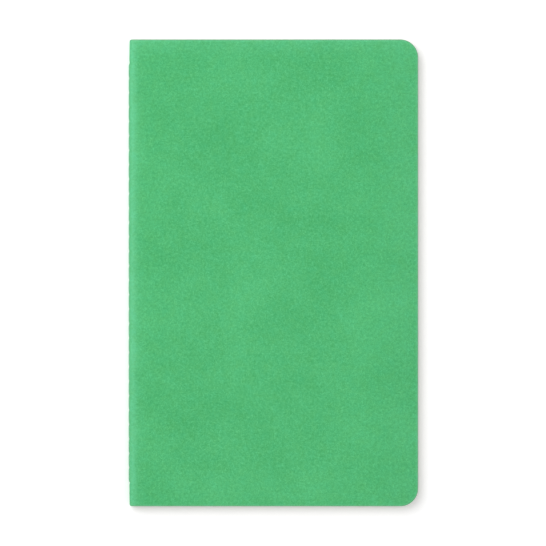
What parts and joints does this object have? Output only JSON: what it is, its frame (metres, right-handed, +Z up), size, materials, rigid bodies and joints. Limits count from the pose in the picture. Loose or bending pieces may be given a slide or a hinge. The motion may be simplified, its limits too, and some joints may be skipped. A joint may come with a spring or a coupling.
{
  "type": "softcover notebook",
  "caption": "Thin green softcover notebook with rounded fore-edge corners, sewn through the fold with a row of stitches along its spine; both card covers open on the fold.",
  "frame": {"origin": "centre of the closed notebook's 130 x 210 mm footprint, on the outer face of the back cover", "axes": "+X from the fold to the fore edge, +Y from tail to head, +Z up through the pages to the front cover"},
  "size_m": [0.1303, 0.21, 0.005],
  "materials": {
    "cover_card": "matte, uncoated dyed card",
    "page_paper": "matte, uncoated",
    "sewing_thread": "twisted thread, dull"
  },
  "bodies": {
    "book_block": {"pages": "page_paper", "spine": "cover_card", "needle_thread": "sewing_thread", "bobbin_thread": "sewing_thread"},
    "front_cover": {"front_cover": "cover_card"},
    "back_cover": {"back_cover": "cover_card"}
  },
  "joints": [
    {"name": "front_cover_hinge", "type": "hinge", "parent": "book_block", "child": "front_cover", "pos_m": [-0.0625, 0, 0.005], "axis": [0, -1, 0], "range_deg": [0, 179.99]},
    {"name": "back_cover_hinge", "type": "hinge", "parent": "book_block", "child": "back_cover", "pos_m": [-0.0625, 0, 0], "axis": [0, 1, 0], "range_deg": [0, 179.99]}
  ]
}
